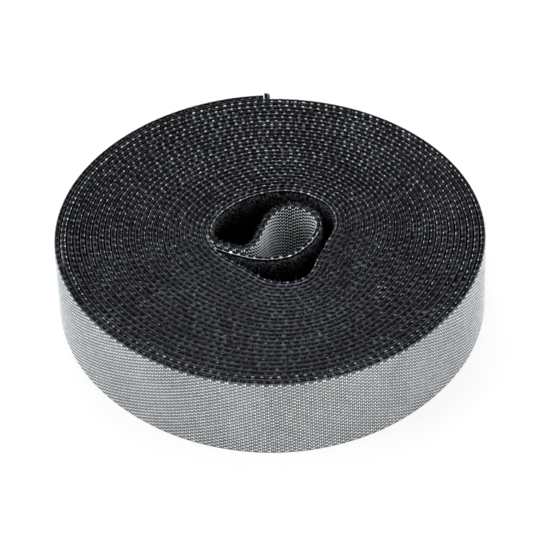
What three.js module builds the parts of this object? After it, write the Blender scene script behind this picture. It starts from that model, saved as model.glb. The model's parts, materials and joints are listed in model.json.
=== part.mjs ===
// A roll of back-to-back hook and loop tape, lying flat, in millimetres with +Z up.
// The tape is a hook tape and a loop tape bonded back to back. It is wound without a core, hooks
// outwards, and its inner end is folded over into a teardrop that fills the eye of the roll.
import * as THREE from 'three';

// The tape, without the hooks and the pile that stand on its two faces
const TAPE_WIDTH = 20;
const HOOK_TAPE_THICKNESS = 0.35;
const LOOP_TAPE_THICKNESS = 0.4;

// The roll: its outer face, the bond line of its innermost turn, and the room that the hooks and
// the pile take up between two turns
const ROLL_RADIUS = 47.5;
const EYE_RADIUS = 14;
const TURN_GAP = 0.8;

// The middle of the eye lies this far behind the centre of the roll
const EYE_SETBACK = 1.4;

// Steps in one turn of the winding
const STEPS_PER_TURN = 24;

// The free end, which peels off the roll in short hinged lengths of one step each
const TAIL_LENGTHS = 6;
const FLEX_GAP = 0.4;

// The fold in the eye is sampled at this length
const FOLD_STEP = 1.6;

// Two places nearer than this along the tape are one stretch, and have no gap between them
const SAME_STRETCH = 4.5;

// How far the eye and the outside depart from a circle, clockwise from the back of the roll
const EYE_SHAPE_SHARES = [
  0.915, 0.98, 1.025, 1.05, 1.005, 0.925, 1, 1.25,
  1.21, 0.975, 0.915, 0.95, 0.97, 0.93, 0.88, 0.875,
];
const OUTSIDE_SHAPE_SHARES = [
  1.009, 0.998, 0.99, 0.992, 0.997, 0.998, 1.001, 1.012,
  1.015, 1.001, 0.985, 0.986, 0.997, 1.003, 1.006, 1.01,
];

// The fold, in shares of the eye's radius: from the cut inner end along the front, round the
// teardrop, and back beside its own start to the wall of the eye
const FOLD_SHARES = [
  [-0.85, -0.375], [-0.73, -0.445], [-0.6, -0.51], [-0.45, -0.575], [-0.28, -0.64],
  [-0.08, -0.675], [0.12, -0.66], [0.3, -0.6], [0.47, -0.46], [0.63, -0.25],
  [0.73, 0], [0.72, 0.22], [0.57, 0.45], [0.32, 0.55], [0.1, 0.45],
  [-0.05, 0.24], [-0.15, -0.03], [-0.25, -0.28], [-0.42, -0.44], [-0.6, -0.39],
  [-0.76, -0.325], [-0.88, -0.22], [-0.945, -0.1],
];

const TAPE_THICKNESS = HOOK_TAPE_THICKNESS + LOOP_TAPE_THICKNESS;
const OUTSIDE_RADIUS = ROLL_RADIUS - HOOK_TAPE_THICKNESS;
const WHOLE_TURNS = Math.floor((OUTSIDE_RADIUS - EYE_RADIUS) / (TAPE_THICKNESS + TURN_GAP));
const STEP_ANGLE = (2 * Math.PI) / STEPS_PER_TURN;

// The winding starts at the left of the eye, a quarter turn before the back, where it also ends.
const WINDING_STEPS = WHOLE_TURNS * STEPS_PER_TURN + Math.round(STEPS_PER_TURN / 4);

const hookFabric = new THREE.MeshStandardMaterial({ color: 0x8b8d8f, roughness: 0.75, metalness: 0 });
const loopPile = new THREE.MeshStandardMaterial({ color: 0x141416, roughness: 0.95, metalness: 0 });

// A closed smooth curve through evenly spaced shares, read at an angle clockwise from the back.
function shareAt(shares, angle) {
  const turns = angle / (2 * Math.PI);
  const place = (turns - Math.floor(turns)) * shares.length;
  const start = Math.floor(place);
  const [a, b, c, d] = [-1, 0, 1, 2].map((i) => shares[(start + i + shares.length) % shares.length]);
  const t = place - start;
  const slope = c - a;
  const bend = 2 * a - 5 * b + 4 * c - d;
  const twist = 3 * (b - c) + d - a;
  return b + (t * (slope + t * (bend + t * twist))) / 2;
}

// The bond line of the wound tape, whose turns change evenly from the eye's shape to the outside's.
function windingPoint(step) {
  const angle = (step - WINDING_STEPS) * STEP_ANGLE;
  const grown = step / WINDING_STEPS;
  const inner = EYE_RADIUS * shareAt(EYE_SHAPE_SHARES, angle);
  const outer = OUTSIDE_RADIUS * shareAt(OUTSIDE_SHAPE_SHARES, angle);
  const radius = inner + (outer - inner) * grown;
  const middle = EYE_SETBACK * (1 - grown);
  return new THREE.Vector2(radius * Math.sin(angle), middle + radius * Math.cos(angle));
}

// The bond line of the fold, which ends one step short of the first turn.
function foldPoints() {
  const corners = FOLD_SHARES.map(
    ([x, y]) => new THREE.Vector2(x * EYE_RADIUS, EYE_SETBACK + y * EYE_RADIUS),
  );
  const curve = new THREE.SplineCurve([...corners, windingPoint(0)]);
  const steps = Math.round(curve.getLength() / FOLD_STEP);
  return curve.getSpacedPoints(steps).slice(0, -1);
}

// A line with its two ends drawn back by the given lengths.
function drawnBack(line, atStart, atEnd) {
  const moved = (from, towards, length) => {
    const along = towards.clone().sub(from).normalize();
    return from.clone().addScaledVector(along, length);
  };
  const last = line.length - 1;
  return [
    moved(line[0], line[1], atStart),
    ...line.slice(1, last),
    moved(line[last], line[last - 1], atEnd),
  ];
}

// The line moved sideways: to the hook side by a positive distance, to the pile side by a negative.
function movedSideways(line, distance) {
  return line.map((point, i) => {
    const before = line[Math.max(i - 1, 0)];
    const after = line[Math.min(i + 1, line.length - 1)];
    const along = after.clone().sub(before).normalize();
    return new THREE.Vector2(point.x - along.y * distance, point.y + along.x * distance);
  });
}

// One tape standing on edge: the strip between its back, on the bond line, and its working face.
function tapeStrip(name, material, bondLine, thickness) {
  const face = movedSideways(bondLine, thickness);
  const outline = new THREE.Shape([...bondLine, ...face.reverse()]);
  const geometry = new THREE.ExtrudeGeometry(outline, { depth: TAPE_WIDTH, bevelEnabled: false });
  const mesh = new THREE.Mesh(geometry, material);
  mesh.name = name;
  return mesh;
}

// The hook tape and the loop tape of one length, back to back on the bond line.
function bondedTapes(place, bondLine) {
  return [
    tapeStrip(`hook_tape_${place}`, hookFabric, bondLine, HOOK_TAPE_THICKNESS),
    tapeStrip(`loop_tape_${place}`, loopPile, bondLine, -LOOP_TAPE_THICKNESS),
  ];
}

// The least distance between the corners of one face and the straight stretches of another that
// lie farther along the tape than one stretch.
function leastDistance(corners, face, lengthsAlong) {
  const flat = (point) => new THREE.Vector3(point.x, point.y);
  const nearest = new THREE.Vector3();
  let least = Infinity;
  for (let j = 1; j < face.length; j += 1) {
    const stretch = new THREE.Line3(flat(face[j - 1]), flat(face[j]));
    for (let i = 0; i < corners.length; i += 1) {
      const apart = Math.max(lengthsAlong[j - 1] - lengthsAlong[i], lengthsAlong[i] - lengthsAlong[j]);
      if (apart > SAME_STRETCH) {
        const corner = flat(corners[i]);
        least = Math.min(least, corner.distanceTo(stretch.closestPointToPoint(corner, true, nearest)));
      }
    }
  }
  return least;
}

// Prints the length of the wound strip and the least gap that it keeps to itself.
function printWindingSizes(bondLine) {
  const lengthsAlong = [0];
  for (let i = 1; i < bondLine.length; i += 1) {
    lengthsAlong.push(lengthsAlong[i - 1] + bondLine[i].distanceTo(bondLine[i - 1]));
  }
  const faces = [
    movedSideways(bondLine, HOOK_TAPE_THICKNESS),
    movedSideways(bondLine, -LOOP_TAPE_THICKNESS),
  ];
  const gaps = faces.flatMap((corners) => faces.map((face) => leastDistance(corners, face, lengthsAlong)));
  console.log(`Wound tape: ${lengthsAlong.pop().toFixed(0)} mm long in ${WHOLE_TURNS} turns and a fold`);
  console.log(`Least gap of the wound tape to itself: ${Math.min(...gaps).toFixed(2)} mm`);
}

// The roll: the fold in the eye and the turns as one unbroken strip, up to the tail's first hinge.
function buildRoll() {
  const bondLine = foldPoints();
  for (let step = 0; step <= WINDING_STEPS - TAIL_LENGTHS; step += 1) {
    bondLine.push(windingPoint(step));
  }
  const drawnLine = drawnBack(bondLine, 0, FLEX_GAP / 2);
  printWindingSizes(drawnLine);
  return bondedTapes('roll', drawnLine);
}

// The tail: straight hinged lengths of the outermost turn, the last one ending in the cut free end.
function buildTail() {
  const tail = [];
  for (let number = 1; number <= TAIL_LENGTHS; number += 1) {
    const end = WINDING_STEPS - TAIL_LENGTHS + number;
    const gapAtEnd = number < TAIL_LENGTHS ? FLEX_GAP / 2 : 0;
    const bondLine = [windingPoint(end - 1), windingPoint(end)];
    tail.push(...bondedTapes(`tail_${number}`, drawnBack(bondLine, FLEX_GAP / 2, gapAtEnd)));
  }
  return tail;
}

const tapeRoll = new THREE.Group();
tapeRoll.add(...buildRoll(), ...buildTail());

export default tapeRoll;
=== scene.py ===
# A roll of back-to-back hook and loop tape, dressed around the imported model, in metres.
import json
import math
from collections import namedtuple

import bpy
import numpy as np
from mathutils import Matrix, Vector


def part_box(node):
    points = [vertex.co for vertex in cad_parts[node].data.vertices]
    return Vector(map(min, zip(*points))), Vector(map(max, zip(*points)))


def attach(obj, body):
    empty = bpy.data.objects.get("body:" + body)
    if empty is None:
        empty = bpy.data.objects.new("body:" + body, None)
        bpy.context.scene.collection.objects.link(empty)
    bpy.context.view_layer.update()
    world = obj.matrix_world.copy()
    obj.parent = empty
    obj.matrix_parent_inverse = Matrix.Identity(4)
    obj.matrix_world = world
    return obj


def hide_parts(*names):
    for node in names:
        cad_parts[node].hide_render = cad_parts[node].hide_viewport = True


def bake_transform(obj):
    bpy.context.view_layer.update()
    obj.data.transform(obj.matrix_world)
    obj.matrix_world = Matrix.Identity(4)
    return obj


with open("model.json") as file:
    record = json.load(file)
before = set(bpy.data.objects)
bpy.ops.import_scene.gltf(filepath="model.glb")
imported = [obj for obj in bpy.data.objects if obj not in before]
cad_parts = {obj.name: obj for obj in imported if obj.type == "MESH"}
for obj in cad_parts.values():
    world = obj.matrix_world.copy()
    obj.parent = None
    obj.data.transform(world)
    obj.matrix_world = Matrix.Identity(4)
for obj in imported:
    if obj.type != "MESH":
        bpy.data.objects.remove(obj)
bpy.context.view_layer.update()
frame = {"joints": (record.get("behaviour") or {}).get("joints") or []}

bpy.ops.object.select_all(action="DESELECT")


# The route of the tape
# The tape is one unbroken strip, wound without a core. Its cut inner end is folded over into a
# teardrop that fills the eye, and from there it winds clockwise outwards in 26 turns and a quarter.
MM = 0.001
ROLL_RADIUS = 47.5 * MM
EYE_RADIUS = 14 * MM
EYE_SETBACK = 1.4 * MM
HOOK_TAPE_THICKNESS = 0.35 * MM
LOOP_TAPE_THICKNESS = 0.4 * MM
TURNS = 26.25
FOLD_FRONT_SHARE = 0.4
ROUTE_STEP = 0.2 * MM
ROUTE_SMOOTHING = 0.6 * MM
TURN_POINTS = 30000
FOLD_SPAN_POINTS = 40

# The turns lie closer than their average by this share at the eye, and wider by it at the outside
TIGHTER_EYE_SHARE = 0.11

# How far the eye and the outside depart from a circle, clockwise from the back of the roll
EYE_SHAPE_SHARES = [
    0.915, 0.98, 1.025, 1.05, 1.005, 0.925, 1, 1.25,
    1.21, 0.975, 0.915, 0.95, 0.97, 0.93, 0.88, 0.875,
]
OUTSIDE_SHAPE_SHARES = [
    1.009, 0.998, 0.99, 0.992, 0.997, 0.998, 1.001, 1.012,
    1.015, 1.001, 0.985, 0.986, 0.997, 1.003, 1.006, 1.01,
]

# The fold, in shares of the eye's radius, from the cut inner end to the wall of the eye
FOLD_SHARES = [
    [-0.85, -0.375], [-0.73, -0.445], [-0.6, -0.51], [-0.45, -0.575], [-0.28, -0.64],
    [-0.08, -0.675], [0.12, -0.66], [0.3, -0.6], [0.47, -0.46], [0.63, -0.25],
    [0.73, 0], [0.72, 0.22], [0.57, 0.45], [0.32, 0.55], [0.1, 0.45],
    [-0.05, 0.24], [-0.15, -0.03], [-0.25, -0.28], [-0.42, -0.44], [-0.6, -0.39],
    [-0.76, -0.325], [-0.88, -0.22], [-0.945, -0.1],
]

OUTSIDE_RADIUS = ROLL_RADIUS - HOOK_TAPE_THICKNESS
TAPE_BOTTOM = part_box("hook_tape_roll")[0][2]
TAPE_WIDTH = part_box("hook_tape_roll")[1][2] - TAPE_BOTTOM


def smooth_between(a, b, c, d, t):
    """The smooth curve from b to c, where a and d are the points beyond them."""
    return b + t * (c - a + t * (2 * a - 5 * b + 4 * c - d + t * (3 * (b - c) + d - a))) / 2


def share_at(shares, angle):
    """A closed smooth curve through evenly spaced shares, read at angles clockwise from the back."""
    place = angle / (2 * math.pi) % 1 * len(shares)
    start = place.astype(int)
    around = [np.array(shares)[(start + i) % len(shares)] for i in (-1, 0, 1, 2)]
    return smooth_between(*around, place - start)


def winding_points(progress):
    """The bond line of the turns, at shares from 0 at the eye to 1 at the free end."""
    angle = (progress - 1) * TURNS * 2 * math.pi
    inner = EYE_RADIUS * share_at(EYE_SHAPE_SHARES, angle)
    outer = OUTSIDE_RADIUS * share_at(OUTSIDE_SHAPE_SHARES, angle)
    grown = progress * (1 - TIGHTER_EYE_SHARE) + TIGHTER_EYE_SHARE * progress ** 2
    radius = inner + (outer - inner) * grown
    middle = EYE_SETBACK * (1 - grown)
    return np.stack([radius * np.sin(angle), middle + radius * np.cos(angle)], axis=1)


def fold_points():
    """The bond line of the fold, up to the first turn."""
    fold = EYE_RADIUS * np.array(FOLD_SHARES) + [0, EYE_SETBACK]
    corners = np.vstack([fold, winding_points(np.zeros(1))])
    corners = np.vstack([corners[:1], corners, corners[-1:]])
    t = np.linspace(0, 1, FOLD_SPAN_POINTS, endpoint=False)[:, None]
    spans = [smooth_between(*corners[i:i + 4, None], t) for i in range(len(corners) - 3)]
    return np.vstack(spans)


def evenly_spaced(line, step):
    """The line again, with its points one step apart, and the length along it of each point."""
    lengths = np.concatenate([[0], np.cumsum(np.linalg.norm(np.diff(line, axis=0), axis=1))])
    even = np.linspace(0, lengths[-1], round(lengths[-1] / step) + 1)
    return np.stack([np.interp(even, lengths, line[:, i]) for i in (0, 1)], axis=1), even


def smoothed(line, reach):
    """The line with its corners eased over a reach to either side, and its two ends where they were."""
    half = round(reach / ROUTE_STEP)
    # The first and the last weight of this window are zero, and are left off
    weights = np.hanning(2 * half + 3)[1:-1]
    before = 2 * line[0] - line[half:0:-1]
    after = 2 * line[-1] - line[-2:-half - 2:-1]
    padded = np.vstack([before, line, after])
    return np.stack([np.convolve(padded[:, i], weights / weights.sum(), "valid") for i in (0, 1)], axis=1)


fold_line = fold_points()
turn_line = winding_points(np.linspace(0, 1, TURN_POINTS))
route, route_lengths = evenly_spaced(np.vstack([fold_line, turn_line]), ROUTE_STEP)
route = smoothed(route, ROUTE_SMOOTHING)
along = np.gradient(route, axis=0)
along /= np.linalg.norm(along, axis=1)[:, None]
hook_side = np.stack([-along[:, 1], along[:, 0]], axis=1)

TAPE_LENGTH = route_lengths[-1]
FOLD_LENGTH = evenly_spaced(fold_line, ROUTE_STEP)[1][-1]
FOLD_FRONT_LENGTH = FOLD_FRONT_SHARE * FOLD_LENGTH
FIRST_TURN_LENGTH = 2 * math.pi * EYE_RADIUS
LAST_TURN_LENGTH = 2 * math.pi * OUTSIDE_RADIUS
EYE_END = FOLD_LENGTH + FIRST_TURN_LENGTH


def on_tape(lengths, out, up):
    """Places in the frame, from lengths along the tape, distances out to the hook side and heights.
    Nothing reaches below what the roll lies on."""
    places = []
    beyond = np.where(lengths > TAPE_LENGTH, lengths - TAPE_LENGTH, np.minimum(lengths, 0))
    for i in (0, 1):
        line = np.interp(lengths, route_lengths, route[:, i])
        side = np.interp(lengths, route_lengths, hook_side[:, i])
        places.append(line + side * out + beyond * np.where(lengths > 0, along[-1, i], along[0, i]))
    return np.stack([*places, TAPE_BOTTOM + np.maximum(up, 0)], axis=-1)


def nearest_length(place):
    """The length along the last turn at which the tape passes nearest to a place."""
    last = route_lengths > TAPE_LENGTH - LAST_TURN_LENGTH
    apart = np.linalg.norm(route[last] - np.array(place[:2]), axis=1)
    return route_lengths[last][apart.argmin()]


def numbers_between(start, end, spacing, shift):
    """The numbers of the places between two lengths along the tape. Place 0 lies at the shift, a
    share of the spacing, and the others follow a spacing apart."""
    return np.arange(math.ceil(start / spacing - shift), math.ceil(end / spacing - shift))


# The hook tape
# A woven nylon ribbon with small mushroom-headed hooks over its whole outer face. The hooks stand
# two by two in columns across the tape, and every other column is half a row lower.
HOOK_SPACING = 0.457 * MM
HOOK_SHIFT_SHARE = 0.5
HOOK_ROW = 0.875 * MM
HOOK_RADII = (0.185 * MM, 0.13 * MM, 0.24 * MM)
HOOK_SIZE_SHARES = (0.88, 1.1)
SECOND_HOOK_SHARE = 0.88
FIRST_HOOK_SHARES = (1, 1.1, 1.3)
FIRST_HOOK_RISE = 0.07 * MM
FOLD_HOOK_SHARES = (0.75, 1.5, 1)
HOOK_STAND = 0.09 * MM
HOOK_JITTER = 0.01 * MM
PAIR_FALL = 0.035 * MM
FACE_MARGIN = 0.6 * MM
LOWER_MARGIN = 0.2 * MM
HOOK_ROWS = math.floor((TAPE_WIDTH - FACE_MARGIN) / HOOK_ROW) + 1
BOND_GAP = 0.01 * MM
EDGE_ROUNDING = 0.07 * MM
EDGE_BAND = 0.6 * MM
SELVAGE_DEPTH = 0.05 * MM
RIBBON_LOW = SELVAGE_DEPTH
RIBBON_HIGH = TAPE_WIDTH - SELVAGE_DEPTH
TURN_STEP = 1.5 * MM
FOLD_STEP = 0.5 * MM

# The weave of the ribbons and the unevenness of their dye
FACE_YARNS_PER_MM = 4.2
COVERED_YARNS_PER_MM = 2.2
RIBBON_YARNS_PER_MM = 5.0
# The weave is painted darker where its yarns lie low and lighter where they lie high: painted shade and
# light over the weave
WEAVE_PAINTED_SHADE_LEAST = 0.6
WEAVE_PAINTED_SHADE_CONTRAST = 0.8
WEAVE_RELIEF = 0.05 * MM
WEAVE_BUMP = 0.7
DYE_SCALES = (90.0, 900.0)
DYE_DETAIL = 3.0
DYE_LEAST = 0.1
SHEEN_ROUGHNESS = 0.4

HOOK_COLOUR = (0.78, 0.825, 0.865, 1)
HOOK_SHADOW_COLOUR = (0.42, 0.44, 0.46, 1)
HOOK_GROUND_COLOUR = (0.155, 0.155, 0.153, 1)
# The hook ground in the fold is painted nearly black, as painted shade inside the teardrop
FOLD_GROUND_PAINTED_SHADE_COLOUR = (0.006, 0.006, 0.0062, 1)
# The hook face of the inner turns is painted much darker than the hook ground, as painted shade in the
# narrow gaps between the turns
TURN_FACE_PAINTED_SHADE_COLOUR = (0.04, 0.042, 0.049, 1)
BAND_COLOUR = (0.062, 0.07, 0.08, 1)
RIBBON_COLOUR = (0.0035, 0.0035, 0.0037, 1)

# The light of a small piece is its share of the lighter one of its two colours
HOOK_LIGHT = 0.7
HOOK_LIGHT_SPREAD = 0.15
FIRST_HOOK_GAIN = 0.1
SECOND_HOOK_LOSS = 0.15
# The hooks in the fold are painted lighter than the same hooks outside, as painted light that makes up
# for the light the teardrop keeps from them
FOLD_HOOK_PAINTED_LIGHT = 1

# The sockets of a Mix node that mixes colours
MIX_FACTOR = 0
MIX_FIRST = 6
MIX_SECOND = 7
MIX_RESULT = 2

# Faces with this many corners or more are cut ends, and flat
CUT_END_CORNERS = 5

# A chunk of a piece: its corners in the frame, its faces with their materials, and each corner's
# place on the tape in millimetres and shade. A shape is a small body before it is laid on the tape.
Chunk = namedtuple("Chunk", "corners faces tape_places shades")
Shape = namedtuple("Shape", "corners faces")

# Whatever is uneven comes from this one row of chances, which is the same in each run
chances = np.random.default_rng(26)


def add_node(tree, kind, inputs, **settings):
    """A new node with its settings, and each input either linked from a socket or set to a value."""
    node = tree.nodes.new(kind)
    for name, value in settings.items():
        setattr(node, name, value)
    for name, value in inputs.items():
        if isinstance(value, bpy.types.NodeSocket):
            tree.links.new(value, node.inputs[name])
        else:
            node.inputs[name].default_value = value
    return node


def calc(tree, operation, *values):
    """The result of one math node."""
    return add_node(tree, "ShaderNodeMath", dict(enumerate(values)), operation=operation).outputs[0]


def blended(tree, share, first, second):
    """The result of mixing two colours, where share is that of the second."""
    inputs = {MIX_FACTOR: share, MIX_FIRST: first, MIX_SECOND: second}
    return add_node(tree, "ShaderNodeMix", inputs, data_type="RGBA").outputs[MIX_RESULT]


def tinted(tree, colour, factor):
    """A colour made lighter or darker by a factor."""
    grey = add_node(tree, "ShaderNodeCombineColor", {0: factor, 1: factor, 2: factor})
    inputs = {MIX_FACTOR: 1.0, MIX_FIRST: colour, MIX_SECOND: grey.outputs[0]}
    node = add_node(tree, "ShaderNodeMix", inputs, data_type="RGBA", blend_type="MULTIPLY")
    return node.outputs[MIX_RESULT]


def new_group(name, inputs, outputs):
    """An empty node group with named inputs and outputs, and its two end nodes."""
    group = bpy.data.node_groups.new(name, "ShaderNodeTree")
    for socket, kind in inputs.items():
        group.interface.new_socket(socket, in_out="INPUT", socket_type=kind)
    for socket, kind in outputs.items():
        group.interface.new_socket(socket, in_out="OUTPUT", socket_type=kind)
    return group, group.nodes.new("NodeGroupInput"), group.nodes.new("NodeGroupOutput")


def make_plain_weave():
    """The height, from 0 to 1, of yarns that pass over and under each other, by place on the tape
    in millimetres."""
    group, given, result = new_group(
        "plain weave", {"Tape Place": "NodeSocketVector", "Yarns": "NodeSocketFloat"},
        {"Height": "NodeSocketFloat"})
    place = add_node(group, "ShaderNodeSeparateXYZ", {0: given.outputs["Tape Place"]})
    half_waves = calc(group, "MULTIPLY", given.outputs["Yarns"], math.pi)
    waves = [
        calc(group, "SINE", calc(group, "MULTIPLY", place.outputs[axis], half_waves))
        for axis in (0, 1)]
    height = calc(group, "MULTIPLY_ADD", calc(group, "MULTIPLY", *waves), 0.5, 0.5)
    group.links.new(height, result.inputs["Height"])
    return group


def make_uneven_dye():
    """Slow and fine changes of brightness over a fabric, as a factor near 1."""
    group, given, result = new_group(
        "uneven dye", {"Place": "NodeSocketVector", "Depth": "NodeSocketFloat"},
        {"Factor": "NodeSocketFloat"})
    noises = [
        add_node(group, "ShaderNodeTexNoise", {
            "Vector": given.outputs["Place"], "Scale": scale, "Detail": DYE_DETAIL}).outputs["Fac"]
        for scale in DYE_SCALES]
    centred = calc(group, "SUBTRACT", calc(group, "ADD", *noises), 1.0)
    factor = calc(group, "MULTIPLY_ADD", centred, given.outputs["Depth"], 1.0)
    group.links.new(calc(group, "MAXIMUM", factor, DYE_LEAST), result.inputs["Factor"])
    return group


plain_weave = make_plain_weave()
uneven_dye = make_uneven_dye()


def new_fabric(name, dye_depth, roughness, sheen, specular):
    """A fabric material with its shader, its coordinates, and its uneven dye as a factor."""
    material = bpy.data.materials.new(name)
    material.use_nodes = True
    tree = material.node_tree
    shader = tree.nodes["Principled BSDF"]
    shader.inputs["Roughness"].default_value = roughness
    shader.inputs["Sheen Weight"].default_value = sheen
    shader.inputs["Sheen Roughness"].default_value = SHEEN_ROUGHNESS
    shader.inputs["Specular IOR Level"].default_value = specular
    coordinates = tree.nodes.new("ShaderNodeTexCoord")
    dye = add_node(tree, "ShaderNodeGroup", {}, node_tree=uneven_dye)
    dye.inputs["Depth"].default_value = dye_depth
    tree.links.new(coordinates.outputs["Object"], dye.inputs["Place"])
    return material, tree, shader, coordinates, dye.outputs["Factor"]


def woven_material(name, colour, yarns_per_mm, specular):
    """A woven ribbon of one colour, whose yarns pass over and under each other."""
    material, tree, shader, coordinates, dye = new_fabric(
        name, dye_depth=0.8, roughness=0.7, sheen=0.0, specular=specular)
    weave = add_node(tree, "ShaderNodeGroup", {}, node_tree=plain_weave)
    weave.inputs["Yarns"].default_value = yarns_per_mm
    tree.links.new(coordinates.outputs["UV"], weave.inputs["Tape Place"])
    # Painted shade and light: darker where the yarns lie low, lighter where they lie high
    painted_weave_shade = calc(tree, "MULTIPLY_ADD", weave.outputs[0], WEAVE_PAINTED_SHADE_CONTRAST, WEAVE_PAINTED_SHADE_LEAST)
    brightness = calc(tree, "MULTIPLY", dye, painted_weave_shade)
    tree.links.new(tinted(tree, colour, brightness), shader.inputs["Base Color"])
    bump = add_node(tree, "ShaderNodeBump", {
        "Height": weave.outputs[0], "Distance": WEAVE_RELIEF, "Strength": WEAVE_BUMP})
    tree.links.new(bump.outputs[0], shader.inputs["Normal"])
    return material


def two_tone_material(name, dark, light, dye_depth, roughness, sheen, specular):
    """A material for small pieces, each at its own shade between two colours."""
    material, tree, shader, _, dye = new_fabric(name, dye_depth, roughness, sheen, specular)
    shade = add_node(tree, "ShaderNodeAttribute", {}, attribute_name="shade")
    colour = blended(tree, shade.outputs["Fac"], dark, light)
    tree.links.new(tinted(tree, colour, dye), shader.inputs["Base Color"])
    return material


hook_ground_material = woven_material(
    "hook ground", HOOK_GROUND_COLOUR, FACE_YARNS_PER_MM, specular=0.2)
fold_ground_painted_shade_material = woven_material(
    "shaded hook ground", FOLD_GROUND_PAINTED_SHADE_COLOUR, FACE_YARNS_PER_MM, specular=0.05)
turn_face_painted_shade_material = woven_material(
    "hook ground with painted shade between turns", TURN_FACE_PAINTED_SHADE_COLOUR, COVERED_YARNS_PER_MM, specular=0.0)
edge_band_material = woven_material(
    "hook ground at the edge", BAND_COLOUR, COVERED_YARNS_PER_MM, specular=0.1)
ribbon_material = woven_material("ribbon", RIBBON_COLOUR, RIBBON_YARNS_PER_MM, specular=0.0)
hook_material = two_tone_material(
    "hooks", HOOK_SHADOW_COLOUR, HOOK_COLOUR, dye_depth=0.25, roughness=0.4, sheen=0.1, specular=0.5)


def swept(start, end, step, outline, shade=0.5, lift=None, mottling=0):
    """A length of ribbon or yarn, closed at both ends: (out, up, material) points round it, swept
    along the tape. A point's material is that of the strip from it to the next point. Its shade
    varies from place to place by up to the mottling."""
    lengths = np.linspace(start, end, max(round((end - start) / step), 1) + 1)
    shades = shade * (1 + mottling * chances.uniform(-1, 1, len(lengths)))
    out, up = np.array([point[:2] for point in outline]).T
    length_grid, out_grid = np.meshgrid(lengths, out, indexing="ij")
    up_grid = up + (lift(length_grid) if lift else np.zeros(length_grid.shape))
    corners = on_tape(length_grid, out_grid, up_grid).reshape(-1, 3)
    around = len(outline)
    ring_starts = np.arange(len(lengths) - 1)[:, None] * around
    faces = []
    for i, point in enumerate(outline):
        after = (i + 1) % around
        faces.append((ring_starts + [i, after, around + after, around + i], point[2]))
    faces.append((np.arange(around)[None, ::-1], outline[0][2]))
    faces.append((np.arange(around)[None] + (len(lengths) - 1) * around, outline[0][2]))
    places = np.stack([length_grid, up_grid], axis=-1).reshape(-1, 2) / MM
    return Chunk(corners, faces, places, np.repeat(shades, around))


def taken_shape():
    """The corners and faces of the small shape just modelled, which is then removed."""
    model = bpy.context.object
    corners = np.array([vertex.co for vertex in model.data.vertices])
    outlines = [list(face.vertices) for face in model.data.polygons]
    sizes = sorted({len(outline) for outline in outlines})
    faces = [np.array([outline for outline in outlines if len(outline) == size]) for size in sizes]
    bpy.data.meshes.remove(model.data)
    return Shape(corners, faces)


def laid_on_tape(shape, lengths, out, up, sizes, shades, material, turned=None):
    """Copies of a small shape laid on the tape. Its x runs along, its y out and its z up."""
    points = shape.corners[None] * sizes[:, None]
    if turned is not None:
        points = np.einsum("nij,njk->nik", points, turned)
    corner_lengths = lengths[:, None] + points[..., 0]
    corner_heights = up[:, None] + points[..., 2]
    corners = on_tape(corner_lengths, out[:, None] + points[..., 1], corner_heights).reshape(-1, 3)
    firsts = np.arange(len(lengths))[:, None, None] * len(shape.corners)
    faces = [((face[None] + firsts).reshape(-1, face.shape[1]), material) for face in shape.faces]
    places = np.stack([corner_lengths, corner_heights], axis=-1).reshape(-1, 2) / MM
    return Chunk(corners, faces, places, np.repeat(shades, len(shape.corners)))


def new_piece(name, chunks):
    """One mesh in the frame's place from chunks of geometry, with their materials."""
    mesh = bpy.data.meshes.new(name)
    corners = np.vstack([chunk.corners for chunk in chunks])
    starts = np.cumsum([0] + [len(chunk.corners) for chunk in chunks])
    loops = []
    sizes = []
    slots = []
    materials = []
    for chunk, start in zip(chunks, starts):
        for faces, material in chunk.faces:
            if material not in materials:
                materials.append(material)
            loops.append(faces.ravel() + start)
            sizes.append(np.full(len(faces), faces.shape[1]))
            slots.append(np.full(len(faces), materials.index(material)))
    loops, sizes, slots = (np.concatenate(lists).astype(np.int32) for lists in (loops, sizes, slots))
    loop_starts = np.concatenate([[0], np.cumsum(sizes)[:-1]]).astype(np.int32)
    mesh.vertices.add(len(corners))
    mesh.vertices.foreach_set("co", corners.astype(np.float32).ravel())
    mesh.loops.add(len(loops))
    mesh.loops.foreach_set("vertex_index", loops)
    mesh.polygons.add(len(sizes))
    mesh.polygons.foreach_set("loop_start", loop_starts)
    mesh.polygons.foreach_set("loop_total", sizes)
    mesh.polygons.foreach_set("material_index", slots)
    mesh.polygons.foreach_set("use_smooth", sizes < CUT_END_CORNERS)
    mesh.update(calc_edges=True)
    places = np.vstack([chunk.tape_places for chunk in chunks])
    mesh.uv_layers.new(name="tape").data.foreach_set("uv", places[loops].astype(np.float32).ravel())
    shades = np.concatenate([chunk.shades for chunk in chunks]).astype(np.float32)
    mesh.attributes.new("shade", "FLOAT", "POINT").data.foreach_set("value", shades)
    for material in materials:
        mesh.materials.append(material)
    piece = bpy.data.objects.new(name, mesh)
    bpy.context.scene.collection.objects.link(piece)
    return piece


def ribbon(start, end, step, back, face, face_material, back_material, band_material):
    """A length of ribbon between its back and its face. The face and the band along its upper edge
    have materials of their own."""
    side = math.copysign(1, face)
    rounded = face - side * EDGE_ROUNDING
    outline = [
        (back, RIBBON_LOW, back_material),
        (rounded, RIBBON_LOW, face_material),
        (face, RIBBON_LOW + EDGE_ROUNDING, face_material),
        (face, RIBBON_HIGH - EDGE_BAND, band_material),
        (face, RIBBON_HIGH - EDGE_ROUNDING, band_material),
        (rounded, RIBBON_HIGH, back_material),
        (back, RIBBON_HIGH, back_material),
    ]
    if side < 0:
        # The loop side runs round the other way, and so does each strip
        strips = [point[2] for point in outline]
        outline = [
            (*point[:2], strip)
            for point, strip in zip(outline[::-1], [*strips[-2::-1], strips[-1]])]
    return swept(start, end, step, outline)


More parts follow.
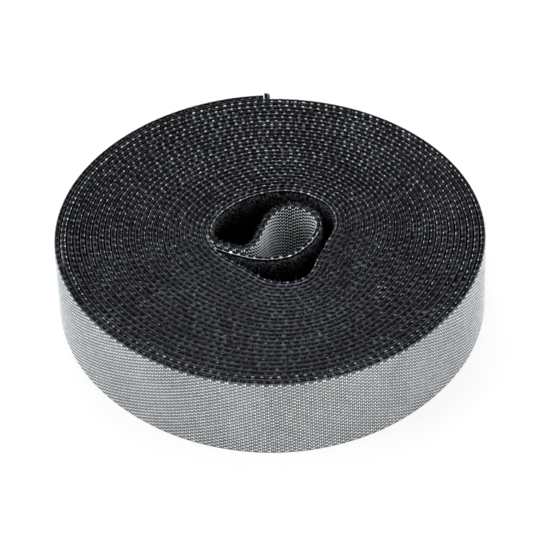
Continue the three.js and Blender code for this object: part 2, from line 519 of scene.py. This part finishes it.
def hook_ribbon(start, end, step, face_material, band_material=None):
    """A length of the hook ribbon, whose edge is as its face unless the band has its own material."""
    return ribbon(
        start, end, step, BOND_GAP, HOOK_TAPE_THICKNESS, face_material, ribbon_material,
        band_material or face_material)


def model_bead():
    """A small rounded body: the head of a hook, or the turn of the weft in a picot."""
    bpy.ops.mesh.primitive_ico_sphere_add(subdivisions=1, radius=1)
    return taken_shape()


bead_shape = model_bead()


def hooks(start, end, light=HOOK_LIGHT, shares=(1, 1, 1)):
    """The hooks on a length of the tape. The second one of a pair is smaller and lower, and the
    first pair of each higher column is larger."""
    numbers = numbers_between(start, end, HOOK_SPACING, HOOK_SHIFT_SHARE)
    numbers, rows = (grid.ravel() for grid in np.meshgrid(numbers, np.arange(HOOK_ROWS), indexing="ij"))
    second = numbers % 2
    lowered = numbers // 2 % 2
    up = TAPE_WIDTH - FACE_MARGIN - (rows + lowered / 2) * HOOK_ROW - (second - 0.5) * PAIR_FALL
    on_face = up > LOWER_MARGIN
    numbers, rows, second, lowered, up = (
        values[on_face] for values in (numbers, rows, second, lowered, up))
    count = len(numbers)
    first = (rows == 0) & (lowered == 0)
    sizes = np.array(HOOK_RADII) * shares * chances.uniform(*HOOK_SIZE_SHARES, (count, 3))
    first_shares = np.where(first[:, None], FIRST_HOOK_SHARES, 1)
    sizes *= first_shares * np.where(second, SECOND_HOOK_SHARE, 1)[:, None]
    shades = chances.normal(light, HOOK_LIGHT_SPREAD, count) + FIRST_HOOK_GAIN * first
    shades = np.clip(shades - SECOND_HOOK_LOSS * second, 0, 1)
    lengths = (numbers + HOOK_SHIFT_SHARE) * HOOK_SPACING + chances.normal(0, HOOK_JITTER, count)
    up = up + FIRST_HOOK_RISE * first + chances.normal(0, HOOK_JITTER, count)
    out = np.full(count, HOOK_TAPE_THICKNESS + HOOK_STAND)
    return laid_on_tape(bead_shape, lengths, out, up, sizes, shades, hook_material)


# The selvages
# Along both edges the two ribbons are woven without hooks or pile. A blue-grey yarn closes the hook
# side, the weft crosses the edge in bars, and it turns in small bright picots on the loop side.
PICOT_SPACING = 4 * HOOK_SPACING
PICOT_RADII = (0.4 * MM, 0.12 * MM, 0.21 * MM)
PICOT_SIZE_SHARES = (0.75, 1.15)
PICOT_STAND = 1.5 * PICOT_RADII[1]
PICOT_STAND_JITTER = 0.03 * MM
PICOT_DEPTH = 0.36 * MM
PICOT_DEPTH_JITTER = 0.025 * MM
PICOT_RISE = 0.16 * MM
LOOSE_TURNS = (1.4, 2.2)
FOLD_PICOT_SHARES = (1.2, 3, 1.05)
DIM_PICOT_SHARES = (0.7, 0.7, 0.7)
DIM_PICOT_SHIFT_SHARE = 0.5
WEFT_JITTER = 0.06 * MM
BAR_SPACING = PICOT_SPACING / 2
BAR_HALF_BREADTHS = (0.42 * MM, 0.08 * MM)
BAR_BREADTH_SHARES = (0.6, 1.3)
BAR_HALF_THICKNESS = 0.09 * MM
BAR_THICKNESS_SHARES = (0.85, 1.1)
BAR_DEPTH = 0.09 * MM
BAR_SIDES = 5
BAR_FLARE_SHARE = 1.5
HOOK_YARN_RADII = (0.14 * MM, 0.22 * MM)
HOOK_YARN_DEPTH = 0.22 * MM
HOOK_YARN_STAND = 0.04 * MM
LOOP_YARN_RADII = (0.06 * MM, 0.06 * MM)
LOOP_YARN_DEPTH = 0.4 * MM
YARN_WAVE = 0.035 * MM
YARN_STEP = 0.45 * MM
YARN_SIDES = 4

PICOT_COLOUR = (0.9, 0.95, 0.98, 1)
PICOT_SHADOW_COLOUR = (0.022, 0.023, 0.028, 1)
SELVAGE_COLOUR = (0.142, 0.153, 0.182, 1)
SELVAGE_SHADOW_COLOUR = (0.004, 0.004, 0.0045, 1)

# The light of the picots, by the number of turns before the free end, and its drifts along the tape
PICOT_TURNS = (0.3, 0.8, 9, 26)
PICOT_LIGHT_SHARES = (0.12, 1.15, 1.1, 0.75)
PICOT_SPREADS = (0.16, 0.16, 0.2, 0.25)
PICOT_LIGHT = 0.55
DIM_PICOT_LIGHT = 0.03
DRIFT_LIGHT = 0.12
DRIFT_REACHES = (23 * MM, 61 * MM)
DRIFT_SHIFT = 1

BAR_LIGHT = 0.155
BAR_LIGHT_SPREAD = 0.12
# Between the inner turns the hook side's yarn is painted darker than the same yarn on the outside and
# round the eye, as painted shade
YARN_LIGHT = 0.4
OUTSIDE_YARN_LIGHT = 0.75
LOWER_YARN_LIGHT = 0.9
LOOP_YARN_LIGHT = 0.02
YARN_MOTTLING = 0.85

picot_material = two_tone_material(
    "picots", PICOT_SHADOW_COLOUR, PICOT_COLOUR, dye_depth=0.8, roughness=0.4, sheen=0.1, specular=0.3)
selvage_material = two_tone_material(
    "selvage yarn", SELVAGE_SHADOW_COLOUR, SELVAGE_COLOUR,
    dye_depth=1.6, roughness=0.6, sheen=0.0, specular=0.05)


def model_bar():
    """A thread two units long, which spreads flat towards the hook side."""
    bpy.ops.mesh.primitive_cylinder_add(
        vertices=BAR_SIDES, radius=1, depth=2, rotation=(math.pi / 2, 0, 0))
    bpy.ops.object.transform_apply(location=False, rotation=True, scale=False)
    bpy.ops.object.mode_set(mode="EDIT")
    bpy.ops.mesh.select_all(action="DESELECT")
    bpy.ops.object.mode_set(mode="OBJECT")
    for vertex in bpy.context.object.data.vertices:
        vertex.select = vertex.co.y > 0
    bpy.ops.object.mode_set(mode="EDIT")
    bpy.ops.transform.resize(value=(BAR_FLARE_SHARE, 1, 1))
    bpy.ops.object.mode_set(mode="OBJECT")
    return taken_shape()


bar_shape = model_bar()


def edge_height(depth, top):
    """The height of what lies a depth inside the upper or the lower edge of the tape."""
    return TAPE_WIDTH - depth if top else depth


def yarn_wave(lengths):
    """A yarn rises over one bar and sinks under the next."""
    return YARN_WAVE * np.cos(math.pi * lengths / BAR_SPACING)


def picot_rise(lengths):
    """The loop side stands higher on the front of the fold, on the first turn and on the last
    loose turns."""
    turns_left = (TAPE_LENGTH - lengths) / LAST_TURN_LENGTH
    in_eye = (lengths < FOLD_FRONT_LENGTH) | ((lengths > FOLD_LENGTH) & (lengths < EYE_END))
    return np.where(in_eye, PICOT_RISE, np.interp(turns_left, LOOSE_TURNS, (PICOT_RISE, 0)))


def yarn(start, end, out, up, radii, shade, material, lift=yarn_wave):
    """A yarn that runs along the tape, as a slim tube."""
    angles = np.arange(YARN_SIDES) * 2 * math.pi / YARN_SIDES
    outline = [
        (out + radii[0] * math.cos(angle), up + radii[1] * math.sin(angle), material)
        for angle in angles]
    return swept(start, end, YARN_STEP, outline, shade, lift, YARN_MOTTLING)


def repeats(start, end, spacing, shift, jitter):
    """Lengths along the tape, a spacing apart, each a little out of place."""
    numbers = numbers_between(start, end, spacing, shift)
    return (numbers + shift) * spacing + chances.normal(0, jitter, len(numbers))


def picots(start, end, top, shift, shares, light):
    """The turns of the weft on the loop side. They vary in drifts along the tape, they are duller
    towards the eye, and near the free end they are much duller."""
    lengths = repeats(start, end, PICOT_SPACING, shift, WEFT_JITTER)
    count = len(lengths)
    drift = np.sin(lengths / DRIFT_REACHES[0]) * np.sin(lengths / DRIFT_REACHES[1] + DRIFT_SHIFT)
    turns_left = (TAPE_LENGTH - lengths) / LAST_TURN_LENGTH
    kept = np.interp(turns_left, PICOT_TURNS, PICOT_LIGHT_SHARES)
    spread = np.interp(turns_left, PICOT_TURNS, PICOT_SPREADS)
    shades = np.clip(kept * (chances.normal(light, spread, count) + DRIFT_LIGHT * drift), 0, 1)
    radii = np.array(PICOT_RADII) * shares
    sizes = radii * chances.uniform(*PICOT_SIZE_SHARES, (count, 3))
    out = chances.normal(radii[1] - LOOP_TAPE_THICKNESS - PICOT_STAND, PICOT_STAND_JITTER, count)
    depth = chances.normal(PICOT_DEPTH, PICOT_DEPTH_JITTER, count) + PICOT_RADII[2] - radii[2]
    up = edge_height(depth - picot_rise(lengths), top)
    return laid_on_tape(bead_shape, lengths, out, up, sizes, shades, picot_material)


def bars(start, end, top):
    """The weft where it crosses the edge from the hook side to the loop side, by turns broad at a
    picot and narrow between two."""
    lengths = repeats(start, end, BAR_SPACING, 0, WEFT_JITTER)
    count = len(lengths)
    half_length = (HOOK_TAPE_THICKNESS + LOOP_TAPE_THICKNESS) / 2 - HOOK_YARN_RADII[0] / 2
    broad = np.round(lengths / BAR_SPACING) % 2 == 0
    half_breadths = np.where(broad, *BAR_HALF_BREADTHS) * chances.uniform(*BAR_BREADTH_SHARES, count)
    half_thicknesses = BAR_HALF_THICKNESS * chances.uniform(*BAR_THICKNESS_SHARES, count)
    sizes = np.stack([half_breadths, np.full(count, half_length), half_thicknesses], axis=1)
    out = np.full(count, (HOOK_TAPE_THICKNESS - LOOP_TAPE_THICKNESS) / 2)
    up = np.full(count, edge_height(BAR_DEPTH, top))
    shades = np.clip(chances.normal(BAR_LIGHT, BAR_LIGHT_SPREAD, count), 0, 1)
    return laid_on_tape(bar_shape, lengths, out, up, sizes, shades, selvage_material)


def hook_selvage(start, end, top, yarn_light=YARN_LIGHT):
    """The hook side of one edge and the bars across it."""
    out = HOOK_TAPE_THICKNESS + HOOK_YARN_STAND - HOOK_YARN_RADII[0]
    up = edge_height(HOOK_YARN_DEPTH, top)
    return [
        yarn(start, end, out, up, HOOK_YARN_RADII, yarn_light, selvage_material),
        bars(start, end, top),
    ]


def loop_selvage(start, end, top, yarn_light=LOOP_YARN_LIGHT, light=PICOT_LIGHT, shares=(1, 1, 1)):
    """The loop side of one edge: its yarn, and the bright and the dim picots."""
    out = -LOOP_TAPE_THICKNESS
    up = edge_height(LOOP_YARN_DEPTH, top)
    lift = picot_rise if top else yarn_wave
    return [
        yarn(start, end, out, up, LOOP_YARN_RADII, yarn_light, picot_material, lift),
        picots(start, end, top, 0, shares, light),
        picots(start, end, top, DIM_PICOT_SHIFT_SHARE, DIM_PICOT_SHARES, DIM_PICOT_LIGHT),
    ]


# The loop tape
# A black ribbon with a brushed loop pile on its inner face. The pile is a tangle of fine curled
# fibres, half a millimetre high where it fills the space between two turns, and higher in the eye.
PILE_HEIGHT = 0.5 * MM
FIBRE_RADIUS = 0.028 * MM
EYE_FIBRE_RADIUS = 0.045 * MM
RIM_FIBRES_PER_MM = 3.4
FACE_FIBRES_PER_MM = 14
EYE_FIBRES_PER_MM = 45
PILE_RIM_DEPTH = 0.5 * MM
EYE_PILE_DEPTHS = (0.85 * MM, 7 * MM)
EYE_PILE_HEIGHT = 0.8 * MM
RIM_HAIR_HEIGHT = 0.9 * MM
RIM_HAIRS_PER_MM = 10
FIRST_TURN_HAIRS_PER_MM = 2

# A fibre's two bends, in radii sideways and in shares of its height, and how it thins and leans
FIBRE_SIDES = 3
FIBRE_BENDS = ((3, 0, 0.6), (-2, 0, 0.4))
FIBRE_TAPER_SHARE = 0.7
FIBRE_LEAN_SPREAD = 0.7
FIBRE_RISE = 0.1
FIBRE_RISE_SPREAD = 0.5
FIBRE_HEIGHT_SHARES = (0.6, 1.15)
FIBRE_CROWDING = 1.5

PILE_COLOUR = (0.002, 0.002, 0.0022, 1)
# The fibres' lighter colour is painted sheen, where the black fibres catch the light
PILE_PAINTED_SHEEN_COLOUR = (0.29, 0.315, 0.355, 1)
LOOP_GROUND_COLOUR = (0.0015, 0.0015, 0.0016, 1)
TANGLE_SCALE = 4000.0
TANGLE_DETAIL = 4.0
TANGLE_LEAST = 0.5
TANGLE_RELIEF = 0.2 * MM
TANGLE_BUMP = 0.8
FIBRE_LIGHT_SPREAD = 0.25
# How fast the fibres are painted darker the deeper they stand: painted shade
FIBRE_PAINTED_SHADE_POWER = 2
TURN_PILE_LIGHT = 0.3
EYE_PILE_LIGHT = 0.4
RIM_HAIR_LIGHT = 0.5
FIRST_TURN_HAIR_LIGHT = 0.4
PEELING_PILE_LIGHT = 0.1

pile_material = two_tone_material(
    "loop pile", PILE_COLOUR, PILE_PAINTED_SHEEN_COLOUR, dye_depth=1.2, roughness=0.6, sheen=0.0, specular=0.02)


def make_loop_ground_material():
    """The ground of the pile, a dark tangle."""
    material, tree, shader, coordinates, dye = new_fabric(
        "loop ground", dye_depth=1.0, roughness=0.9, sheen=0.0, specular=0.0)
    tangle = add_node(tree, "ShaderNodeTexNoise", {
        "Vector": coordinates.outputs["Object"], "Scale": TANGLE_SCALE, "Detail": TANGLE_DETAIL})
    brightness = calc(tree, "MULTIPLY", dye, calc(tree, "ADD", tangle.outputs["Fac"], TANGLE_LEAST))
    tree.links.new(tinted(tree, LOOP_GROUND_COLOUR, brightness), shader.inputs["Base Color"])
    bump = add_node(tree, "ShaderNodeBump", {
        "Height": tangle.outputs["Fac"], "Distance": TANGLE_RELIEF, "Strength": TANGLE_BUMP})
    tree.links.new(bump.outputs[0], shader.inputs["Normal"])
    return material


loop_ground_material = make_loop_ground_material()


def model_fibre():
    """A curled fibre one unit high, with a pointed tip."""
    bpy.ops.mesh.primitive_circle_add(
        vertices=FIBRE_SIDES, radius=1, fill_type="NGON", rotation=(math.pi, 0, 0))
    bpy.ops.object.transform_apply(location=False, rotation=True, scale=False)
    bpy.ops.object.mode_set(mode="EDIT")
    bpy.ops.mesh.select_all(action="SELECT")
    bpy.ops.mesh.extrude_region_move(TRANSFORM_OT_translate={"value": FIBRE_BENDS[0]})
    bpy.ops.transform.resize(value=(FIBRE_TAPER_SHARE, FIBRE_TAPER_SHARE, 1))
    bpy.ops.mesh.extrude_region_move(TRANSFORM_OT_translate={"value": FIBRE_BENDS[1]})
    bpy.ops.mesh.merge(type="CENTER")
    bpy.ops.mesh.select_all(action="SELECT")
    bpy.ops.mesh.normals_make_consistent(inside=False)
    bpy.ops.object.mode_set(mode="OBJECT")
    return taken_shape()


fibre_shape = model_fibre()


def loop_ribbon(start, end, step):
    """A length of the loop ribbon."""
    return ribbon(
        start, end, step, -BOND_GAP, -LOOP_TAPE_THICKNESS, loop_ground_material, ribbon_material,
        loop_ground_material)


def fibres(start, end, per_mm, height, depths, light, radius=FIBRE_RADIUS):
    """Pile fibres on a length of the loop ribbon, between two depths below its upper edge, most of
    them near the first, where they are painted lightest: the deeper a fibre stands, the darker it is
    painted, as painted shade."""
    count = round((end - start) / MM * per_mm)
    lengths = chances.uniform(start, end, count)
    low = chances.uniform(0, 1, count) ** FIBRE_CROWDING
    sideways = chances.normal(0, FIBRE_LEAN_SPREAD, count)
    lean = np.stack([
        sideways, -np.ones(count), chances.normal(FIBRE_RISE, FIBRE_RISE_SPREAD, count)], axis=1)
    lean /= np.linalg.norm(lean, axis=1)[:, None]
    across = np.cross(lean, chances.normal(0, 1, (count, 3)))
    across /= np.linalg.norm(across, axis=1)[:, None]
    turned = np.stack([across, np.cross(lean, across), lean], axis=1)
    tall = height * chances.uniform(*FIBRE_HEIGHT_SHARES, count)
    sizes = np.stack([np.full(count, radius), np.full(count, radius), tall], axis=1)
    # Painted shade: the deeper a fibre stands, the darker it is painted
    shades = np.clip(chances.normal(light, FIBRE_LIGHT_SPREAD, count), 0, 1) * (1 - low) ** FIBRE_PAINTED_SHADE_POWER
    out = np.full(count, -LOOP_TAPE_THICKNESS)
    up = RIBBON_HIGH - depths[0] - (depths[1] - depths[0]) * low
    return laid_on_tape(fibre_shape, lengths, out, up, sizes, shades, pile_material, turned)


# The roll
# The fold, the turns and most of the outermost turn, all wound as one. The hooks are modelled
# where they can show: in the fold and on the outermost turn and a quarter.
PILE_RIM = (0, PILE_RIM_DEPTH)

# Round the eye, the light of the hook side's yarn, and of the loop side's yarn and picots. The loop
# side's yarn is painted far lighter on the front of the fold and on the first turn than elsewhere,
# as painted light where these rims lie open
EYE_YARN_LIGHT = 0.7
FOLD_FRONT_LIGHTS = (0.5, 0.54)
FOLD_BACK_YARN_LIGHT = 0.06
FIRST_TURN_LIGHTS = (0.28, 0.5)

hinge_lengths = [nearest_length(joint["pos_m"]) for joint in frame["joints"]]
middles = [(a + b) / 2 for a, b in zip(hinge_lengths, [*hinge_lengths[1:], TAPE_LENGTH])]

# The first peeling length begins here, as far before its hinge as it reaches past it
ROLL_END = 2 * hinge_lengths[0] - middles[0]
bare_start = hinge_lengths[0] - LAST_TURN_LENGTH
bare_middle = (bare_start + ROLL_END) / 2

roll_pieces = {
    "hook_tape_fold": ("hook_face", [
        hook_ribbon(0, FOLD_LENGTH, FOLD_STEP, fold_ground_painted_shade_material),
        hooks(0, FOLD_LENGTH, FOLD_HOOK_PAINTED_LIGHT, FOLD_HOOK_SHARES)]),
    "hook_tape_turns": ("hook_face", [
        hook_ribbon(FOLD_LENGTH, bare_start, TURN_STEP, turn_face_painted_shade_material)]),
    "hook_tape_outside_1": ("hook_face", [
        hook_ribbon(bare_start, bare_middle, TURN_STEP, hook_ground_material, edge_band_material),
        hooks(bare_start, bare_middle)]),
    "hook_tape_outside_2": ("hook_face", [
        hook_ribbon(bare_middle, ROLL_END, TURN_STEP, hook_ground_material, edge_band_material),
        hooks(bare_middle, ROLL_END)]),
    "upper_hook_selvage": ("hook_face", [
        *hook_selvage(0, EYE_END, True, EYE_YARN_LIGHT),
        *hook_selvage(EYE_END, bare_start, True),
        *hook_selvage(bare_start, ROLL_END, True, OUTSIDE_YARN_LIGHT)]),
    "lower_hook_selvage": ("hook_face", hook_selvage(0, ROLL_END, False, LOWER_YARN_LIGHT)),
    "loop_tape_turns": ("loop_pile", [
        loop_ribbon(0, EYE_END, FOLD_STEP),
        loop_ribbon(EYE_END, ROLL_END, TURN_STEP)]),
    "upper_loop_selvage": ("loop_pile", [
        *loop_selvage(0, FOLD_FRONT_LENGTH, True, *FOLD_FRONT_LIGHTS, FOLD_PICOT_SHARES),
        *loop_selvage(FOLD_FRONT_LENGTH, FOLD_LENGTH, True, FOLD_BACK_YARN_LIGHT),
        *loop_selvage(FOLD_LENGTH, EYE_END, True, *FIRST_TURN_LIGHTS),
        *loop_selvage(EYE_END, ROLL_END, True)]),
    "lower_loop_selvage": ("loop_pile", loop_selvage(0, ROLL_END, False)),
    "pile_between_turns": ("loop_pile", [
        fibres(EYE_END, ROLL_END, RIM_FIBRES_PER_MM, PILE_HEIGHT, PILE_RIM, TURN_PILE_LIGHT)]),
    "pile_in_eye": ("loop_pile", [
        fibres(
            0, EYE_END, EYE_FIBRES_PER_MM, EYE_PILE_HEIGHT, EYE_PILE_DEPTHS, EYE_PILE_LIGHT,
            EYE_FIBRE_RADIUS),
        fibres(
            FOLD_FRONT_LENGTH, FOLD_LENGTH, RIM_HAIRS_PER_MM, RIM_HAIR_HEIGHT, PILE_RIM,
            RIM_HAIR_LIGHT),
        fibres(
            FOLD_LENGTH, EYE_END, FIRST_TURN_HAIRS_PER_MM, RIM_HAIR_HEIGHT, PILE_RIM,
            FIRST_TURN_HAIR_LIGHT)]),
}
for name, (slot, chunks) in roll_pieces.items():
    roll_piece = new_piece(name, chunks)
    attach(roll_piece, "roll")
    if name.endswith("tape_turns"):
        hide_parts(name.replace("turns", "roll"))


# The free end
# The last quarter turn, which peels off the roll. Each length runs from the middle of one hinged
# length to the middle of the next, over the hinge between.
FRAY_CUT_BACK = 0.5 * MM
FRAY_GAP = 0.3 * MM
FRAY_WIDTH = 1.1 * MM
FRAY_RISE = 0.68 * MM
FRAY_THREADS = 70
THREAD_SIDES = 6
THREAD_RADIUS = 0.075 * MM
THREAD_RADIUS_SHARES = (0.7, 1.2)
THREAD_TAPER_SHARE = 0.6
THREAD_RISE_SHARES = (0.8, 1)
THREAD_LEAN_SPREAD = 0.003
THREAD_LIGHT = 0.12
THREAD_LIGHT_SPREAD = 0.1

# What the farthest thread loses of its rise and gains in light, and how late along the fray
FARTHEST_FALL_SHARE = 0.7
FARTHEST_FALL_POWER = 3
FARTHEST_GAIN = 0.8
FARTHEST_GAIN_POWER = 6

RIBBON_END = TAPE_LENGTH - FRAY_CUT_BACK
BODIES = ["roll"] + [joint["child"] for joint in frame["joints"]]
cuts = [ROLL_END, *middles, RIBBON_END]


def model_thread():
    """A thread one unit high, a little thinner at its upper end."""
    bpy.ops.mesh.primitive_cylinder_add(vertices=THREAD_SIDES, radius=1, depth=1, location=(0, 0, 0.5))
    bpy.ops.object.transform_apply(location=True, rotation=False, scale=False)
    bpy.ops.object.mode_set(mode="EDIT")
    bpy.ops.mesh.select_all(action="DESELECT")
    bpy.ops.object.mode_set(mode="OBJECT")
    for vertex in bpy.context.object.data.vertices:
        vertex.select = vertex.co.z > 0.5
    bpy.ops.object.mode_set(mode="EDIT")
    bpy.ops.transform.resize(value=(THREAD_TAPER_SHARE, THREAD_TAPER_SHARE, 1))
    bpy.ops.object.mode_set(mode="OBJECT")
    return taken_shape()


thread_shape = model_thread()


def loose_threads():
    """The last threads of the weft, which have come loose from the cut end. They stand beside it,
    across the whole width, and reach above the edge, the farthest ones least."""
    beyond = np.sort(chances.uniform(0, 1, FRAY_THREADS))
    out = chances.uniform(-LOOP_TAPE_THICKNESS, HOOK_TAPE_THICKNESS, FRAY_THREADS)
    rise = FRAY_RISE * (1 - FARTHEST_FALL_SHARE * beyond ** FARTHEST_FALL_POWER)
    tall = TAPE_WIDTH + rise * chances.uniform(*THREAD_RISE_SHARES, FRAY_THREADS)
    thick = THREAD_RADIUS * chances.uniform(*THREAD_RADIUS_SHARES, FRAY_THREADS)
    lean = np.tile(np.eye(3), (FRAY_THREADS, 1, 1))
    lean[:, 2, :2] = chances.normal(0, THREAD_LEAN_SPREAD, (FRAY_THREADS, 2))
    shades = chances.normal(THREAD_LIGHT, THREAD_LIGHT_SPREAD, FRAY_THREADS)
    shades = np.clip(shades + FARTHEST_GAIN * beyond ** FARTHEST_GAIN_POWER, 0, 1)
    lengths = RIBBON_END + FRAY_GAP + FRAY_WIDTH * beyond
    sizes = np.stack([thick, thick, tall], axis=1)
    up = np.zeros(FRAY_THREADS)
    return laid_on_tape(thread_shape, lengths, out, up, sizes, shades, selvage_material, lean)


for number, (start, end) in enumerate(zip(cuts, cuts[1:])):
    at_the_end = [loose_threads()] if number == len(hinge_lengths) else []
    pieces = {
        "hook": new_piece(f"peeling_hook_tape_{number + 1}", [
            hook_ribbon(start, end, TURN_STEP, hook_ground_material, edge_band_material),
            hooks(start, end),
            *hook_selvage(start, end, True, OUTSIDE_YARN_LIGHT),
            *hook_selvage(start, end, False, LOWER_YARN_LIGHT),
            *at_the_end]),
        "loop": new_piece(f"peeling_loop_tape_{number + 1}", [
            loop_ribbon(start, end, TURN_STEP),
            *loop_selvage(start, end, True),
            *loop_selvage(start, end, False),
            fibres(
                start, end, FACE_FIBRES_PER_MM, PILE_HEIGHT, (0, RIBBON_HIGH - RIBBON_LOW),
                PEELING_PILE_LIGHT),
            fibres(
                start, end, RIM_FIBRES_PER_MM, PILE_HEIGHT, PILE_RIM,
                PEELING_PILE_LIGHT)]),
    }
    for kind, piece in pieces.items():
        if number < len(hinge_lengths):
            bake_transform(piece)
            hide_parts(f"{kind}_tape_{BODIES[number + 1]}")
        else:
            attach(piece, BODIES[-1])


# The camera
# It stands where the photograph was taken from, found from the outline of the roll, and is tilted
# slightly.
CAMERA_DISTANCE = 682 * MM
CAMERA_ELEVATION = math.radians(41.66)
CAMERA_ROLL = math.radians(-2.3)
SENSOR_WIDTH = 36
LENS = 210.3
CAMERA_SHIFT = (-0.0112, 0.0008)
CLIP_REACH = 10

roll_centre = Vector((0, 0, TAPE_BOTTOM + TAPE_WIDTH / 2))
forward = Vector((0, math.cos(CAMERA_ELEVATION), -math.sin(CAMERA_ELEVATION)))
level_up = Vector((0, math.sin(CAMERA_ELEVATION), math.cos(CAMERA_ELEVATION)))
level_right = Vector((1, 0, 0))
camera_right = math.cos(CAMERA_ROLL) * level_right + math.sin(CAMERA_ROLL) * level_up
camera_up = -math.sin(CAMERA_ROLL) * level_right + math.cos(CAMERA_ROLL) * level_up
camera_data = bpy.data.cameras.new("camera")
camera_data.sensor_width = SENSOR_WIDTH
camera_data.lens = LENS
camera_data.shift_x, camera_data.shift_y = CAMERA_SHIFT
camera_data.clip_start = CAMERA_DISTANCE / CLIP_REACH
camera_data.clip_end = CAMERA_DISTANCE * CLIP_REACH
camera = bpy.data.objects.new("camera", camera_data)
camera_turn = Matrix((camera_right, camera_up, -forward)).transposed().to_4x4()
camera.matrix_world = Matrix.Translation(roll_centre - forward * CAMERA_DISTANCE) @ camera_turn
bpy.context.scene.collection.objects.link(camera)
bpy.context.scene.camera = camera


# The studio
# A plain white floor that runs out of view, and large soft lamps behind, in front and to the sides.
FLOOR_SIZE = 6
FLOOR_COLOUR = (0.92, 0.92, 0.92, 1)
FLOOR_ROUGHNESS = 0.9
FLOOR_GLOW_SHARE = 0.75
BACKDROP_COLOUR = (1, 1, 1, 1)
WORLD_STRENGTH = 0.5

# The place and the width of each lamp in metres, and its power in watts
LAMPS = {
    "back_lamp": ((0, 0.9, 0.9), 0.9, 9),
    "left_lamp": ((-1.0, -0.2, 0.7), 0.7, 7),
    "right_lamp": ((1.15, -0.3, 0.35), 0.7, 6),
    "front_lamp": ((0, -1.2, 0.75), 0.9, 10.5),
}

bpy.ops.mesh.primitive_plane_add(size=FLOOR_SIZE, location=(0, 0, TAPE_BOTTOM))
floor = bpy.context.object
floor.name = "floor"
floor_material = bpy.data.materials.new("floor")
floor_material.use_nodes = True
floor_tree = floor_material.node_tree
floor_shader = floor_tree.nodes["Principled BSDF"]
floor_shader.inputs["Base Color"].default_value = FLOOR_COLOUR
floor_shader.inputs["Roughness"].default_value = FLOOR_ROUGHNESS
lit = add_node(floor_tree, "ShaderNodeEmission", {"Color": BACKDROP_COLOUR, "Strength": 1.0})
path = floor_tree.nodes.new("ShaderNodeLightPath")
seen = calc(floor_tree, "MULTIPLY", path.outputs["Is Camera Ray"], FLOOR_GLOW_SHARE)
floor_mix = add_node(floor_tree, "ShaderNodeMixShader", {0: seen})
floor_tree.links.new(floor_shader.outputs[0], floor_mix.inputs[1])
floor_tree.links.new(lit.outputs[0], floor_mix.inputs[2])
floor_tree.links.new(floor_mix.outputs[0], floor_tree.nodes["Material Output"].inputs["Surface"])
floor.data.materials.append(floor_material)

world = bpy.data.worlds.new("studio")
bpy.context.scene.world = world
world.use_nodes = True
world_tree = world.node_tree
backdrop = world_tree.nodes["Background"]
world_path = world_tree.nodes.new("ShaderNodeLightPath")
reflected = calc(
    world_tree, "MAXIMUM",
    world_path.outputs["Is Glossy Ray"], world_path.outputs["Is Transmission Ray"])
shown = calc(world_tree, "MAXIMUM", world_path.outputs["Is Camera Ray"], reflected)
gained = calc(world_tree, "MULTIPLY", shown, 1 - WORLD_STRENGTH)
strength = calc(world_tree, "ADD", gained, WORLD_STRENGTH)
backdrop.inputs["Color"].default_value = BACKDROP_COLOUR
world_tree.links.new(strength, backdrop.inputs["Strength"])

for name, (place, width, power) in LAMPS.items():
    lamp_data = bpy.data.lights.new(name, "AREA")
    lamp_data.size = width
    lamp_data.energy = power
    lamp = bpy.data.objects.new(name, lamp_data)
    lamp.location = place
    lamp.rotation_mode = "QUATERNION"
    lamp.rotation_quaternion = (roll_centre - Vector(place)).to_track_quat("-Z", "Y")
    bpy.context.scene.collection.objects.link(lamp)

bpy.context.scene.view_settings.view_transform = "Standard"
